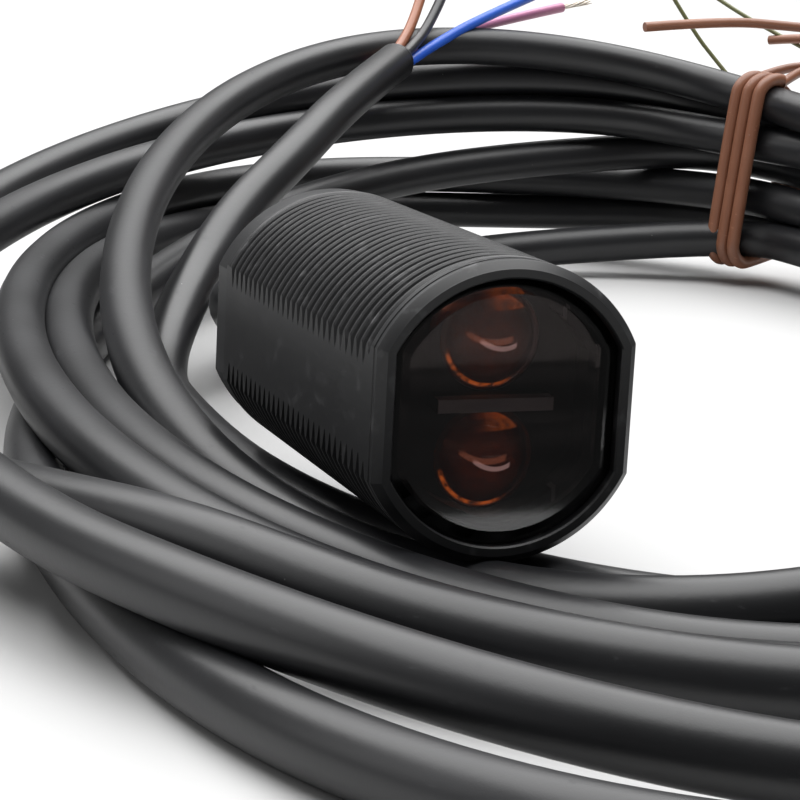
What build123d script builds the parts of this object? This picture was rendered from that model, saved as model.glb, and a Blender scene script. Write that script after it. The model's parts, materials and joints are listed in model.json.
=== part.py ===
from build123d import *

import math
import os

# Optical proximity sensor in a threaded plastic barrel, with its lead coiled and tied beside it.
# Millimetres.  X to the right, Y from the sensing face back along the barrel, Z up.
# The origin is on the barrel's axis, in the plane of the front rim.

# ---- barrel ----
BARREL_R = 9.0  # M18 x 1 crest radius
FLAT_DEPTH = 0.9  # from the crest radius in to each side flat
THREAD_PITCH = 1.0
THREAD_DEPTH = 0.5
THREAD_START = 1.5  # plain collar in front of the first turn
THREAD_RUNOUT = 0.5  # least plain length behind the last turn
THREAD_CREST = 0.22  # flat left on each crest
BARREL_LENGTH = 30.1
BARREL_WALL = 1.6  # from the crest radius to the cavity
FLAT_WALL = 1.5
RIM_CHAMFER = 0.32
RIM_WIDTH = 0.75  # front rim around the window pocket
RIM_CLEARANCE = 0.05

# ---- window and its seal ----
WINDOW_RECESS = 0.2
WINDOW_THICK = 1.4
WINDOW_BEVEL_WIDE = 0.85
WINDOW_BEVEL_DEEP = 0.35
SEAL_THICK = 0.5
SEAL_WIDE = 0.9

# ---- optics ----
HOLDER_FRONT_GAP = 0.25  # air between window and lens holder
HOLDER_LENGTH = 9.0
HOLDER_FIT = 0.08
LENS_WALL = 0.57  # from each lens out to the holder's own outside
LENS_WEB = 0.9  # between the emitter's lens above and the receiver's below
LENS_EDGE = 0.8
LENS_DOME = 1.3
LENS_FRONT_DEPTH = 2.3  # from the holder's front to the lens's flat
LENS_FIT = 0.03
LENS_SEAT = 0.75  # ledge behind each lens, round its light passage
BAR_LENGTH = 7.4  # partition bar that shows through the window
BAR_THICK = 0.8
BAR_DEEP = 2.0

# ---- boards ----
BOARD_THICK = 0.8
OPTICS_BOARD_SIDE_GAP = 1.1  # from the cavity's flats
OPTICS_BOARD_TOP_GAP = 0.9
MAIN_BOARD_GAP = 1.6  # from the cavity's crown to the board's long edges
JACKET_GAP = 1.0  # between the lower edge's end and the lead's jacket
TONGUE_GAP = 1.0  # between the clamp ring and the tongue that runs on above it

# ---- light source and receiver ----
LED_BASE = 1.0
LED_DOME_R = 1.5
LED_RIM = 0.5
DIODE_SIZE = 3.0
DIODE_THICK = 1.2
DIODE_WELL_R = 1.0
DIODE_WELL_DEEP = 0.3

# ---- pieces on the main board: (length, height, thickness) and (start, height of the middle) ----
CONTROLLER = (5.0, 3.9, 1.2)
CONTROLLER_PLACE = (2.0, 0.6)
CONTROLLER_LEGS = 4
CONTROLLER_LEG = (0.4, 0.9, 0.35)
CONTROLLER_LEG_STEP = 1.2
CONTROLLER_LEG_REACH = 2.3  # from the package's middle to the middle of a leg
TRANSISTOR = (2.9, 1.6, 1.1)
TRANSISTOR_PLACE = (2.2, -2.6)
TRANSISTOR_LEG = (0.45, 0.7, 0.3)
TRANSISTOR_LEG_STEP = 0.95
TRANSISTOR_LEG_REACH = 1.1
LEG_INSET = 0.4  # from the package's front to its first leg
REGULATOR = (3.0, 3.0, 1.0)
REGULATOR_PLACE = (2.0, 2.6)
CAPACITOR = (1.0, 1.8, 1.1)
CAPACITOR_PLACE = (8.0, 2.9)
CAPACITOR_COUNT = 3
CAPACITOR_STEP = 1.7
RESISTOR = (0.8, 1.6, 0.5)
RESISTOR_PLACE = (6.2, 3.0)
RESISTOR_COUNT = 4
RESISTOR_STEP = 1.4
TRIMMER_SIZE = 3.0
TRIMMER_LENGTH = 2.2
TRIMMER_GAP = 0.1  # from the trimmer and the adjuster's shoulder to the cap's spigot
LEG_SIZE = 0.4
INDICATOR_SIZE = 1.6
INDICATOR_THICK = 1.0
INDICATOR_GAP = 0.3

# ---- rear cap, adjuster, indicator ----
CAP_STEP = 0.13  # the cap's radius is this much under the barrel's crests
CAP_THICK = 2.3
CAP_SPIGOT = 2.6
CAP_CHAMFER = 0.4
CAP_FIT = 0.06
CAP_SEAL_SECTION = 0.6
CAP_SEAL_GROOVE = 1.0
CONTROL_WALL = 0.25  # least wall between the adjuster's bore and the seal's groove
CONTROL_ANGLE = 56.0  # degrees that the adjuster and the indicator stand above the horizontal
ADJUSTER_R = 1.6
ADJUSTER_SHAFT_R = 1.1
ADJUSTER_SUNK = 0.25  # the adjuster's head lies below the cap's back
ADJUSTER_CLEARANCE = 0.06
ADJUSTER_SLOT = 0.5
ADJUSTER_SLOT_DEEP = 0.8
GUIDE_R = 1.3
GUIDE_PROUD = 0.35

# ---- lead ----
CABLE_D = 4.2
BUSHING_FLOOR = 1.24  # wall below the bushing, out to the seal's groove
BUSHING_WALL = 1.2
BUSHING_TIP_WALL = 0.65
BUSHING_LEDGE = 0.8  # the flange's width round the sleeve
BUSHING_FLANGE = 0.9
BUSHING_TAIL = 9.0
BUSHING_INSIDE = 1.6
CLAMP_LENGTH = 2.4
CLAMP_WALL = 0.5
CLAMP_FROM_END = 1.0  # jacket left in front of the clamp ring
CORE_D = 1.15
CORE_GAP = 0.09
CONDUCTOR_D = 0.62
CORE_PAD = 2.0  # length of core that lies on the main board
BEND_SHARE = 0.45
FLOOR_GAP = 0.1

# ---- coil of the lead: every turn passes the tied place and fans out from it ----
COIL_TURN_ANGLE = 18.05  # degrees that the oval's long axis is turned from Y towards X
COIL_APEX = (58.9, 130.8)  # far end of every turn, where they lie on each other
INNER_TURN = (42.0, 74.0)  # half width and half length of the innermost turn
MIDDLE_TURN = (46.0, 76.5)  # inside of the low, spread turns
OUTER_TURN = (61.0, 92.0)
LOW_HEIGHT = 9.3  # height of the spread turns at the front
SLOPE_BASE = 5.4  # the stacked turns climb from the front to the far end
SLOPE_X = 0.0788  # rise for each millimetre to the right
SLOPE_Y = 0.1386  # rise for each millimetre back
COIL_TOP = 45.0  # above any point of the coil
SEAT_CLEARANCE = 0.15
SEAT_FRONT = -26.0
TIE_ANGLE = 54.0  # place of the tie round the innermost turn
TIE_WIDTH = 3.6
TIE_THICK = 0.5
TIE_INSIDE = (7.6, 27.2)  # width and height of the bundle inside the tie
TIE_SHIFT = 1.4  # from the innermost turn to the middle of the bundle

# ---- worked out from the sizes above ----
BARREL_FLAT = BARREL_R - FLAT_DEPTH
CAVITY_R = BARREL_R - BARREL_WALL
CAVITY_FLAT = BARREL_FLAT - FLAT_WALL
POCKET_R = BARREL_R - RIM_CHAMFER - RIM_WIDTH
POCKET_FLAT = BARREL_FLAT - RIM_CHAMFER - RIM_WIDTH
THREAD_TURNS = int((BARREL_LENGTH - THREAD_START - THREAD_RUNOUT) / THREAD_PITCH)
CAP_R = BARREL_R - CAP_STEP
CAP_BACK = BARREL_LENGTH + CAP_THICK
SPIGOT_FRONT = BARREL_LENGTH - CAP_SPIGOT
SEAL_MIDDLE = BARREL_LENGTH - CAP_SPIGOT / 2
SEAL_FLOOR = CAVITY_R - CAP_FIT - CAP_SEAL_SECTION
SEAL_FLOOR_FLAT = CAVITY_FLAT - CAP_FIT - CAP_SEAL_SECTION
WINDOW_BACK = WINDOW_RECESS + WINDOW_THICK
HOLDER_FRONT = WINDOW_BACK + SEAL_THICK + HOLDER_FRONT_GAP
HOLDER_BACK = HOLDER_FRONT + HOLDER_LENGTH
HOLDER_R = CAVITY_R - HOLDER_FIT
LENS_R = (HOLDER_R - LENS_WALL - LENS_WEB / 2) / 2
LENS_HEIGHT = LENS_R + LENS_WEB / 2  # the emitter's axis is this far up, the receiver's as far down
LENS_FLAT_Y = HOLDER_FRONT + LENS_FRONT_DEPTH
MAIN_BOARD_START = HOLDER_BACK + BOARD_THICK
BUSHING_R = CABLE_D / 2 + BUSHING_WALL
BUSHING_FLANGE_R = BUSHING_R + BUSHING_LEDGE
BUSHING_FRONT = SPIGOT_FRONT - BUSHING_INSIDE
BUSHING_END = CAP_BACK + BUSHING_FLANGE + BUSHING_TAIL  # the lead leaves here
CABLE_Z = BUSHING_R + BUSHING_FLOOR - SEAL_FLOOR  # the lead's axis, below the barrel's
CORE_SPREAD = (CORE_D + CORE_GAP) / 2  # cores lie this far off the lead's axis, up and down
JACKET_FRONT = BUSHING_FRONT - CLAMP_LENGTH - CLAMP_FROM_END
MAIN_BOARD_END = JACKET_FRONT - JACKET_GAP
TONGUE_BOTTOM = CABLE_Z + CABLE_D / 2 + CLAMP_WALL + TONGUE_GAP
TONGUE_END = SPIGOT_FRONT - INDICATOR_GAP
CONTROL_RADIUS = SEAL_FLOOR - CONTROL_WALL - ADJUSTER_R - ADJUSTER_CLEARANCE
CONTROL_X = CONTROL_RADIUS * math.cos(math.radians(CONTROL_ANGLE))
CONTROL_Z = CONTROL_RADIUS * math.sin(math.radians(CONTROL_ANGLE))
TRIMMER_BACK = SPIGOT_FRONT - TRIMMER_GAP
ADJUSTER_FRONT = TRIMMER_BACK - TRIMMER_LENGTH / 2
ADJUSTER_BACK = CAP_BACK - ADJUSTER_SUNK
FLOOR_Z = -(BARREL_R + CABLE_D + FLOOR_GAP)  # the barrel rests on one strand of its own lead
REST = CABLE_D / 2  # height of a strand's middle where it lies on the floor
EXIT = CABLE_Z - FLOOR_Z  # height of the lead's middle where it leaves the bushing

# ---- free stretches of the lead, heights above the floor ----
LEAD_ROUTE = [
    (0.0, BUSHING_END, EXIT),
    (0.0, 53.5, EXIT),
    (3.0, 65.0, 7.8),
    (9.6, 75.5, 4.0),
    (17.5, 86.0, 2.2),
    (26.0, 96.5, REST),
    (35.5, 106.5, REST),
    (46.0, 115.5, REST),
    (58.0, 120.5, REST),
    (70.6, 118.6, REST),
]
TAIL_ROUTE = [
    (-5.0, 52.5, REST),
    (-4.2, 60.5, 2.3),
    (-1.7, 68.5, 4.3),
    (4.0, 79.0, 8.4),
    (10.4, 88.3, 12.7),
    (18.6, 96.8, 17.0),
    (27.6, 108.5, 21.2),
    (38.3, 123.0, 24.1),
]
CORE_STEP = 6.0
CORE_BENDS = {
    "brown": ((0.55, 0.70, 0.45), (0.42, 0.62, 0.66), (0.50, 0.52, 0.70)),
    "black": ((0.62, 0.70, 0.36), (0.52, 0.62, 0.59), (0.40, 0.66, 0.64)),
    "blue": ((0.74, 0.60, 0.30), (0.84, 0.42, 0.35), (0.88, 0.38, 0.29)),
    "pink": ((0.70, 0.66, 0.28), (0.84, 0.50, 0.20), (0.93, 0.34, 0.16)),
}
CONDUCTOR_LENGTH = 5.0


def facing(y):
    """Plane square to the barrel's axis, its X and Y along the row's X and Z."""
    return Plane(origin=(0, y, 0), x_dir=(1, 0, 0), z_dir=(0, -1, 0))


def prism(sketch, start, end):
    """A sketch drawn in X and Z, made solid from one place on Y to another."""
    return extrude(facing(end) * sketch, amount=end - start)


def rod(radius, start, end, x=0.0, z=0.0):
    """A round rod along Y."""
    return prism(Pos(x, z) * Circle(radius), start, end)


def double_d(radius, half_flat):
    """A circle with two side flats, the barrel's section."""
    return Circle(radius) & Rectangle(2 * half_flat, 2 * radius)


def block(width, height, start, end, x=0.0, z=0.0):
    """A box along Y."""
    return prism(Pos(x, z) * Rectangle(width, height), start, end)


def housing_barrel():
    """Barrel with ring grooves at the thread's pitch, two flats, a window pocket and a cavity."""
    root = BARREL_R - THREAD_DEPTH
    outline = [(0, 0), (BARREL_R - RIM_CHAMFER, 0), (BARREL_R, RIM_CHAMFER), (BARREL_R, THREAD_START)]
    for turn in range(THREAD_TURNS):
        groove = THREAD_START + turn * THREAD_PITCH
        outline.append((root, groove + (THREAD_PITCH - THREAD_CREST) / 2))
        outline.append((BARREL_R, groove + THREAD_PITCH - THREAD_CREST))
        outline.append((BARREL_R, groove + THREAD_PITCH))
    outline += [(BARREL_R, BARREL_LENGTH), (0, BARREL_LENGTH)]
    turned = revolve(make_face(Polyline(*outline, close=True)), axis=Axis.Y)
    body = turned & prism(double_d(2 * BARREL_R, BARREL_FLAT), 0, BARREL_LENGTH)
    corners = body.edges().filter_by(GeomType.LINE).filter_by(Axis.Z).group_by(Axis.Y)[0]
    body = chamfer(corners, RIM_CHAMFER)
    body -= prism(double_d(POCKET_R, POCKET_FLAT), 0, WINDOW_BACK + SEAL_THICK)
    return body - prism(double_d(CAVITY_R, CAVITY_FLAT), 0, BARREL_LENGTH)


def front_window():
    """Smoked cover plate with a wide bevel round its front edge."""
    radius = POCKET_R - RIM_CLEARANCE
    half_flat = POCKET_FLAT - RIM_CLEARANCE
    inner = double_d(radius - WINDOW_BEVEL_WIDE, half_flat - WINDOW_BEVEL_WIDE)
    bevel_back = WINDOW_RECESS + WINDOW_BEVEL_DEEP
    front = loft([facing(WINDOW_RECESS) * inner, facing(bevel_back) * double_d(radius, half_flat)])
    return front + prism(double_d(radius, half_flat), bevel_back, WINDOW_BACK)


def window_seal():
    """Flat gasket between the window and the barrel's ledge."""
    outer = double_d(POCKET_R - RIM_CLEARANCE, POCKET_FLAT - RIM_CLEARANCE)
    inner = double_d(POCKET_R - SEAL_WIDE, POCKET_FLAT - SEAL_WIDE)
    return prism(outer - inner, WINDOW_BACK, WINDOW_BACK + SEAL_THICK)


def dome_radius(edge, rise):
    """Radius of the sphere whose cap has this edge radius and this rise."""
    return (edge**2 + rise**2) / (2 * rise)


def lens_holder():
    """Optical block: a front ring, a partition bar, two lens seats and two light passages."""
    ring = double_d(CAVITY_R - SEAL_WIDE, CAVITY_FLAT - SEAL_WIDE)
    body = prism(double_d(HOLDER_R, CAVITY_FLAT - HOLDER_FIT), HOLDER_FRONT, HOLDER_BACK)
    body -= prism(ring, HOLDER_FRONT, LENS_FLAT_Y - LENS_EDGE)
    for height in (LENS_HEIGHT, -LENS_HEIGHT):
        body -= rod(LENS_R + LENS_FIT, HOLDER_FRONT, LENS_FLAT_Y, z=height)
        body -= rod(LENS_R - LENS_SEAT, LENS_FLAT_Y, HOLDER_BACK, z=height)
    return body + block(BAR_LENGTH, BAR_THICK, HOLDER_FRONT, HOLDER_FRONT + BAR_DEEP)


def lens(height):
    """Plano-convex lens: a thin edge, a domed front and a flat back on its seat."""
    radius = dome_radius(LENS_R, LENS_DOME)
    edge_front = LENS_FLAT_Y - LENS_EDGE
    front = edge_front - LENS_DOME
    edge = rod(LENS_R, edge_front, LENS_FLAT_Y, z=height)
    dome = Pos(0, front + radius, height) * Sphere(radius)
    return rod(LENS_R, front, LENS_FLAT_Y, z=height) & (dome + edge)


def emitter_led():
    """Light source: a small base on the optics board with a clear dome in the upper passage."""
    base = HOLDER_BACK - LED_BASE
    dome = Pos(0, base, LENS_HEIGHT) * Sphere(LED_DOME_R)
    dome &= rod(LED_DOME_R, base - LED_DOME_R, HOLDER_BACK, z=LENS_HEIGHT)
    return rod(LED_DOME_R + LED_RIM, base, HOLDER_BACK, z=LENS_HEIGHT) + dome


def receiver_diode():
    """Light receiver: a flat square package in the lower passage."""
    front = HOLDER_BACK - DIODE_THICK
    package = block(DIODE_SIZE, DIODE_SIZE, front, HOLDER_BACK, z=-LENS_HEIGHT)
    return package - rod(DIODE_WELL_R, front, front + DIODE_WELL_DEEP, z=-LENS_HEIGHT)


def optics_board():
    """Small upright board behind the lens holder."""
    half_width = CAVITY_FLAT - OPTICS_BOARD_SIDE_GAP
    half_height = CAVITY_R - OPTICS_BOARD_TOP_GAP
    outline = Rectangle(2 * half_width, 2 * half_height) & Circle(HOLDER_R)
    return prism(outline, HOLDER_BACK, MAIN_BOARD_START)


def main_board():
    """Main circuit board, upright along the barrel, soldered square to the optics board."""
    top = CAVITY_R - MAIN_BOARD_GAP
    tongue_height = top - TONGUE_BOTTOM
    tongue = block(BOARD_THICK, tongue_height, MAIN_BOARD_START, TONGUE_END, z=top - tongue_height / 2)
    return block(BOARD_THICK, 2 * top, MAIN_BOARD_START, MAIN_BOARD_END) + tongue


def on_board(size, start, z, side):
    """A flat package on the main board's left (-1) or right (1) side."""
    length, height, thick = size
    start += MAIN_BOARD_START
    return block(thick, height, start, start + length, x=side * (BOARD_THICK + thick) / 2, z=z)


def controller_chip():
    """Controller package on the board's left side with a row of legs along each long edge."""
    start, z = CONTROLLER_PLACE
    body = on_board(CONTROLLER, start, z, -1)
    for index in range(CONTROLLER_LEGS):
        leg_start = start + LEG_INSET + CONTROLLER_LEG_STEP * index
        for reach in (-CONTROLLER_LEG_REACH, CONTROLLER_LEG_REACH):
            body += on_board(CONTROLLER_LEG, leg_start, z + reach, -1)
    return body


def output_transistor():
    """Output transistor package with two legs above it and one below."""
    start, z = TRANSISTOR_PLACE
    body = on_board(TRANSISTOR, start, z, 1)
    for index, above in ((0, 1), (1, -1), (2, 1)):
        leg_start = start + LEG_INSET + TRANSISTOR_LEG_STEP * (index - 0.25)
        body += on_board(TRANSISTOR_LEG, leg_start, z + above * TRANSISTOR_LEG_REACH, 1)
    return body


def voltage_regulator():
    """Supply regulator package on the board's right side."""
    return on_board(REGULATOR, *REGULATOR_PLACE, 1)


def board_row(size, place, count, step, side):
    """Like pieces in a row along the main board, as separate solids."""
    start, z = place
    return Compound(children=[on_board(size, start + step * index, z, side) for index in range(count)])


def trimmer_body():
    """Body of the single-turn trimmer, with a round seat for the adjuster's inner end."""
    front = TRIMMER_BACK - TRIMMER_LENGTH
    body = block(TRIMMER_SIZE, TRIMMER_SIZE, front, TRIMMER_BACK, -CONTROL_X, CONTROL_Z)
    body &= rod(CAVITY_R - 2 * CAP_FIT, front, TRIMMER_BACK)
    reach = CONTROL_X - BOARD_THICK / 2
    body += block(reach, LEG_SIZE, front, front + LEG_SIZE, reach / 2 - CONTROL_X, CONTROL_Z)
    seat = ADJUSTER_SHAFT_R + ADJUSTER_CLEARANCE
    return body - rod(seat, ADJUSTER_FRONT, TRIMMER_BACK, -CONTROL_X, CONTROL_Z)


def adjuster_screw():
    """Adjuster that turns in the cap: a stepped shaft with a screwdriver slot in its head."""
    front = ADJUSTER_FRONT + TRIMMER_GAP
    shaft = rod(ADJUSTER_SHAFT_R, front, SPIGOT_FRONT, -CONTROL_X, CONTROL_Z)
    head = rod(ADJUSTER_R, SPIGOT_FRONT, ADJUSTER_BACK, -CONTROL_X, CONTROL_Z)
    slot_front = ADJUSTER_BACK - ADJUSTER_SLOT_DEEP
    slot = block(3 * ADJUSTER_R, ADJUSTER_SLOT, slot_front, ADJUSTER_BACK, -CONTROL_X, CONTROL_Z)
    return shaft + head - slot


def indicator_led():
    """Operation indicator on the end of the main board, in line with the light guide."""
    front = TONGUE_END - INDICATOR_THICK
    reach = CONTROL_X - BOARD_THICK / 2
    legs = block(reach, LEG_SIZE, front, front + LEG_SIZE, CONTROL_X - reach / 2, CONTROL_Z)
    return block(INDICATOR_SIZE, INDICATOR_SIZE, front, TONGUE_END, CONTROL_X, CONTROL_Z) + legs


def light_guide():
    """Clear pin that carries the indicator's light through the cap and ends in a low dome."""
    radius = dome_radius(GUIDE_R, GUIDE_PROUD)
    dome = Pos(CONTROL_X, CAP_BACK + GUIDE_PROUD - radius, CONTROL_Z) * Sphere(radius)
    pin = rod(GUIDE_R, SPIGOT_FRONT, CAP_BACK, CONTROL_X, CONTROL_Z)
    return pin + (dome & rod(GUIDE_R, CAP_BACK, CAP_BACK + GUIDE_PROUD, CONTROL_X, CONTROL_Z))


def seal_groove(half_length, outer):
    """Ring round the cap's spigot, from the groove's floor out to the given section."""
    ring = outer - double_d(SEAL_FLOOR, SEAL_FLOOR_FLAT)
    return prism(ring, SEAL_MIDDLE - half_length, SEAL_MIDDLE + half_length)


def rear_cap():
    """End cap: a flange of the barrel's section and a grooved spigot in its cavity."""
    flange = prism(double_d(CAP_R, BARREL_FLAT), BARREL_LENGTH, CAP_BACK)
    flange = chamfer(flange.faces().sort_by(Axis.Y)[-1].edges(), CAP_CHAMFER)
    spigot = double_d(CAVITY_R - CAP_FIT, CAVITY_FLAT - CAP_FIT)
    body = flange + prism(spigot, SPIGOT_FRONT, BARREL_LENGTH)
    body -= seal_groove(CAP_SEAL_GROOVE / 2, spigot)
    body -= rod(ADJUSTER_R + ADJUSTER_CLEARANCE, SPIGOT_FRONT, CAP_BACK, -CONTROL_X, CONTROL_Z)
    body -= rod(GUIDE_R, SPIGOT_FRONT, CAP_BACK, CONTROL_X, CONTROL_Z)
    return body - rod(BUSHING_R, SPIGOT_FRONT, CAP_BACK, z=CABLE_Z)


def cap_seal():
    """Rubber ring in the cap's groove, squeezed against the cavity wall."""
    return seal_groove(CAP_SEAL_SECTION / 2, double_d(CAVITY_R, CAVITY_FLAT))


def cable_bushing():
    """Strain relief: a sleeve in the cap, a flange on its back and a tapered tail."""
    flange_back = CAP_BACK + BUSHING_FLANGE
    outline = [
        (CABLE_D / 2, BUSHING_FRONT),
        (BUSHING_R, BUSHING_FRONT),
        (BUSHING_R, CAP_BACK),
        (BUSHING_FLANGE_R, CAP_BACK),
        (BUSHING_FLANGE_R, flange_back),
        (BUSHING_R, flange_back),
        (CABLE_D / 2 + BUSHING_TIP_WALL, BUSHING_END),
        (CABLE_D / 2, BUSHING_END),
    ]
    turned = revolve(make_face(Polyline(*outline, close=True)), axis=Axis.Y)
    return Pos(0, 0, CABLE_Z) * turned


def clamp_ring():
    """Metal ring crimped on the jacket inside the barrel, so that the lead can't pull out."""
    ring = Circle(CABLE_D / 2 + CLAMP_WALL) - Circle(CABLE_D / 2)
    return prism(Pos(0, CABLE_Z) * ring, BUSHING_FRONT - CLAMP_LENGTH, BUSHING_FRONT)


def jacket_entry():
    """The lead's jacket from inside the barrel to the bushing's end."""
    return rod(CABLE_D / 2, JACKET_FRONT, BUSHING_END, z=CABLE_Z)


CORE_OFFSETS = {"brown": (-1, 1), "black": (1, 1), "blue": (1, -1), "pink": (-1, -1)}


def inner_core(colour):
    """One insulated core between the jacket's end and its pad on the main board."""
    side, up = CORE_OFFSETS[colour]
    x = side * (BOARD_THICK + CORE_D) / 2
    return rod(CORE_D / 2, MAIN_BOARD_END - CORE_PAD, JACKET_FRONT, x, CABLE_Z + up * CORE_SPREAD)


def above_floor(points):
    """Route points with heights above the floor, in the row's frame."""
    return [(x, y, FLOOR_Z + height) for x, y, height in points]


def bend_radii(points):
    """The largest radius that the runs on both sides of each corner allow."""
    corners = [Vector(*point) for point in points]
    radii = []
    for before, corner, after in zip(corners, corners[1:], corners[2:]):
        run_in, run_out = corner - before, after - corner
        half_turn = math.radians(run_in.get_angle(run_out)) / 2
        radii.append(BEND_SHARE * min(run_in.length, run_out.length) / math.tan(half_turn))
    return radii


def cord_tube(name, points, diameter):
    """A round tube along straight runs joined by tangent arcs."""
    radii = bend_radii(points)
    path = FilletPolyline(*points, radius=radii)
    section = Plane(origin=path @ 0, z_dir=path % 0) * Circle(diameter / 2)
    tube = sweep(section, path=path)
    expected = math.pi * diameter**2 / 4 * path.length
    bends = ", ".join(f"{radius:.1f}" for radius in radii)
    print(f"{name}: length {path.length:.1f}, volume ratio {tube.volume / expected:.4f}, radii {bends}")
    return tube, path


def coil_location():
    """The coil's own frame: origin on the floor under the apex, Y along the oval."""
    return Location((*COIL_APEX, FLOOR_Z), (0, 0, -COIL_TURN_ANGLE))


def oval(turn, grow):
    """The outline of a turn, grown outwards, whose centre-line passes through the apex."""
    half_width, half_length = turn
    return Pos(0, -half_length) * Ellipse(half_width + grow, half_length + grow)


def barrel_seat():
    """Room for the barrel, and for what it looks at, over the strand it rests on."""
    return rod(BARREL_R + SEAT_CLEARANCE, SEAT_FRONT, CAP_BACK)


def cable_coil():
    """Outer shape of the coiled lead: low and spread in front, stacked high at the tie."""
    half = CABLE_D / 2
    outer = oval(OUTER_TURN, half)
    stacked = coil_location() * (outer - oval(INNER_TURN, -half))
    spread = coil_location() * (outer - oval(MIDDLE_TURN, -half))
    slope = Plane(origin=(0, 0, FLOOR_Z + SLOPE_BASE), z_dir=(-SLOPE_X, -SLOPE_Y, 1))
    body = split(extrude(stacked, amount=COIL_TOP), bisect_by=slope, keep=Keep.BOTTOM)
    body += extrude(spread, amount=LOW_HEIGHT)
    return body - barrel_seat() - twist_tie()


def twist_tie():
    """Wire tie round the stacked turns, as one closed band."""
    half_width, half_length = INNER_TURN
    angle = math.radians(TIE_ANGLE)
    normal_angle = math.atan2(half_width * math.sin(angle), half_length * math.cos(angle))
    x = half_width * math.cos(angle) + TIE_SHIFT * math.cos(normal_angle)
    y = half_length * (math.sin(angle) - 1) + TIE_SHIFT * math.sin(normal_angle)
    place = coil_location() * Location((x, y, 0), (0, 0, math.degrees(normal_angle)))
    inside_width, inside_height = TIE_INSIDE
    standing = (Align.CENTER, Align.CENTER, Align.MIN)
    outside = Box(inside_width + 2 * TIE_THICK, TIE_WIDTH, inside_height + 2 * TIE_THICK, align=standing)
    inside = Pos(0, 0, TIE_THICK) * Box(inside_width, 2 * TIE_WIDTH, inside_height, align=standing)
    return place * (outside - inside)


def core_route(colour, path):
    """Route of a stripped core from the jacket's end, which bends away from the others."""
    end, along = path @ 1, (path % 1).normalized()
    across = along.cross(Vector(0, 0, 1)).normalized()
    over = across.cross(along)
    side, up = CORE_OFFSETS[colour]
    point = end + across * (side * CORE_SPREAD) + over * (up * CORE_SPREAD)
    route = [point, point + along * (CORE_STEP / 2)]
    for length, direction in zip((1.0, 1.5, 2.5), CORE_BENDS[colour]):
        route.append(route[-1] + Vector(*direction).normalized() * (CORE_STEP * length))
    return [tuple(step) for step in route]


def conductor_tip(path):
    """Tinned end of a core's conductor."""
    end = Plane(origin=path @ 1, z_dir=path % 1)
    return extrude(end * Circle(CONDUCTOR_D / 2), amount=CONDUCTOR_LENGTH)


def main():
    """Make every piece and write one STEP file for each."""
    pieces = {
        "housing_barrel": housing_barrel(),
        "front_window": front_window(),
        "window_seal": window_seal(),
        "lens_holder": lens_holder(),
        "emitter_lens": lens(LENS_HEIGHT),
        "receiver_lens": lens(-LENS_HEIGHT),
        "emitter_led": emitter_led(),
        "receiver_diode": receiver_diode(),
        "optics_board": optics_board(),
        "main_board": main_board(),
        "controller_chip": controller_chip(),
        "output_transistor": output_transistor(),
        "voltage_regulator": voltage_regulator(),
        "capacitors": board_row(CAPACITOR, CAPACITOR_PLACE, CAPACITOR_COUNT, CAPACITOR_STEP, -1),
        "resistors": board_row(RESISTOR, RESISTOR_PLACE, RESISTOR_COUNT, RESISTOR_STEP, 1),
        "trimmer_body": trimmer_body(),
        "adjuster_screw": adjuster_screw(),
        "indicator_led": indicator_led(),
        "light_guide": light_guide(),
        "rear_cap": rear_cap(),
        "cap_seal": cap_seal(),
        "cable_bushing": cable_bushing(),
        "clamp_ring": clamp_ring(),
        "jacket_entry": jacket_entry(),
        "cable_coil": cable_coil(),
        "twist_tie": twist_tie(),
    }
    for colour in CORE_OFFSETS:
        pieces[f"inner_core_{colour}"] = inner_core(colour)
    pieces["cable_lead"], _ = cord_tube("cable_lead", above_floor(LEAD_ROUTE), CABLE_D)
    pieces["cable_tail"], tail_path = cord_tube("cable_tail", above_floor(TAIL_ROUTE), CABLE_D)
    tips = []
    for colour in CORE_OFFSETS:
        name = f"core_{colour}"
        pieces[name], path = cord_tube(name, core_route(colour, tail_path), CORE_D)
        tips.append(conductor_tip(path))
    pieces["conductor_tips"] = Compound(children=tips)
    os.makedirs("parts", exist_ok=True)
    for name, piece in pieces.items():
        export_step(piece, f"parts/{name}.step")


main()
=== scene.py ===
"""Looks of an optical proximity sensor with a coiled lead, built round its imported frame."""

import json
import logging
import math
from dataclasses import dataclass, field, replace
from enum import Enum

import bmesh
import bpy
import numpy as np
from mathutils import Matrix, Vector


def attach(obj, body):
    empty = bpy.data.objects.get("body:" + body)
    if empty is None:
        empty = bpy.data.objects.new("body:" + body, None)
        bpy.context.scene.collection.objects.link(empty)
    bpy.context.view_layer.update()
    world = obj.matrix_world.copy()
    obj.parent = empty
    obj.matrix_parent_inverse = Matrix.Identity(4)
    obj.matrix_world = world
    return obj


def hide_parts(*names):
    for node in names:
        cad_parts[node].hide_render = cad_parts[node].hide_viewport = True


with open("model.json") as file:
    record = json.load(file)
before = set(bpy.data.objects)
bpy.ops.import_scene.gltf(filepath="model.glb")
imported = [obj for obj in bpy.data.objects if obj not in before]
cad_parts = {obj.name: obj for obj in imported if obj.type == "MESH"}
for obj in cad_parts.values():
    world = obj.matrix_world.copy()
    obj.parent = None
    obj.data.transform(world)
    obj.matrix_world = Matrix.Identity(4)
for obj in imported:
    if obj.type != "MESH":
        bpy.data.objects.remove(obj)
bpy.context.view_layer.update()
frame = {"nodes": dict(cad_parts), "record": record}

LOG = logging.getLogger("sensor")
MM = 0.001
Colour = tuple[float, float, float]
Point = tuple[float, float, float]


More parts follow.
